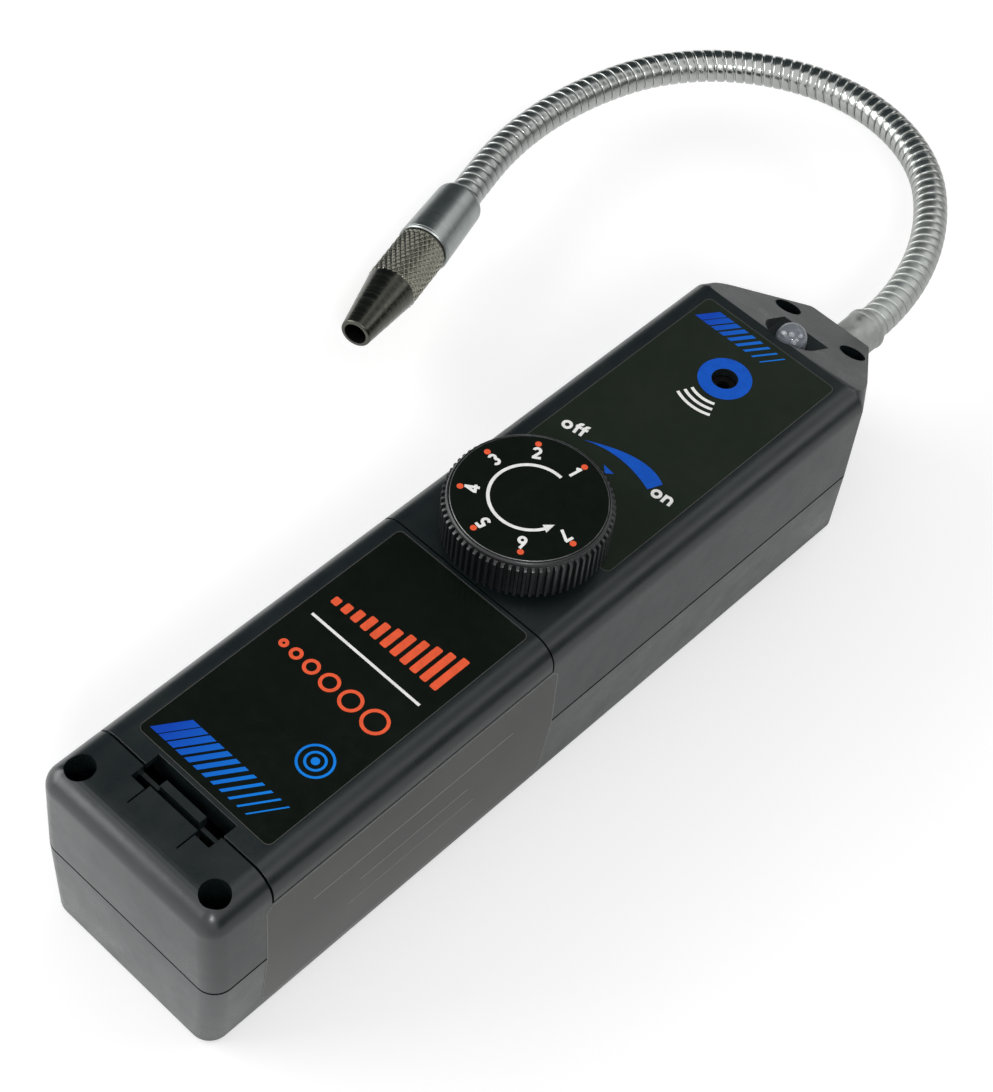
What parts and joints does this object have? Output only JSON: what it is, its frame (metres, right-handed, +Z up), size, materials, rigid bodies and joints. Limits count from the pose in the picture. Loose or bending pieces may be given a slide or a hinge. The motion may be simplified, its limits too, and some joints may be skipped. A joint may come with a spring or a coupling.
{
  "type": "refrigerant leak detector",
  "caption": "Handheld refrigerant leak detector: long plastic housing with sloping nose, ribbed dial knob, battery cover and a bent metal gooseneck ending in a knurled nozzle.",
  "frame": {"origin": "middle of the flat underside, straight below the knob axis", "axes": "+Y along the housing towards the nose, +Z up through the knob axis, +X to the right seen from the battery end"},
  "size_m": [0.1501, 0.3321, 0.0675],
  "materials": {
    "housing_plastic": "fine satin moulding",
    "knob_plastic": "satin moulding",
    "label_film": "printed film, half gloss",
    "side_label_film": "printed film, matte",
    "dial_print": "printed plate, half gloss",
    "screw_steel": "zinc plated",
    "contact_steel": "nickel plated",
    "board_laminate": "solder mask",
    "component_black": "moulded",
    "cell_wrap": "printed sleeve",
    "clear_lens": "clear epoxy",
    "satin_steel": "satin nickel",
    "neck_steel": "plated wound strip",
    "nozzle_metal": "dark nickel",
    "socket_resin": "moulded"
  },
  "bodies": {
    "housing": {"lower_shell": "housing_plastic", "upper_shell": "housing_plastic", "nose_label": "label_film", "side_label": "side_label_film", "housing_screw_near_left": "screw_steel", "housing_screw_near_right": "screw_steel", "housing_screw_nose_left": "screw_steel", "housing_screw_nose_right": "screw_steel", "board_screw_rear": "screw_steel", "board_screw_front": "screw_steel", "circuit_board": "board_laminate", "control_chip": "component_black", "buzzer": "component_black", "led_lamp": "clear_lens", "cell_near": "cell_wrap", "cell_far": "cell_wrap", "contact_near": "contact_steel", "contact_far": "contact_steel", "contact_spring": "contact_steel", "potentiometer": "contact_steel", "pot_washer": "screw_steel", "pot_nut": "screw_steel", "neck_ferrule": "satin_steel", "gooseneck": "neck_steel", "tip_sleeve": "satin_steel", "sensor_socket": "socket_resin", "sensor_tip": "satin_steel"},
    "cover": {"battery_cover": "housing_plastic", "cover_label": "label_film"},
    "knob": {"sensitivity_knob": "knob_plastic", "dial_disc": "dial_print", "pot_shaft": "satin_steel"},
    "nozzle": {"nozzle": "nozzle_metal"}
  },
  "joints": [
    {"name": "cover_tilt", "type": "hinge", "parent": "housing", "child": "cover", "pos_m": [0, -0.0182, 0.0535], "axis": [-1, 0, 0], "range_deg": [0, 45]},
    {"name": "knob_turn", "type": "hinge", "parent": "housing", "child": "knob", "pos_m": [0, 0, 0.0535], "axis": [0, 0, 1], "range_deg": [-300, 0]},
    {"name": "nozzle_slide", "type": "slide", "parent": "housing", "child": "nozzle", "axis": [0.2833, -0.9588, 0.0198], "range_m": [0, 0.008]}
  ]
}
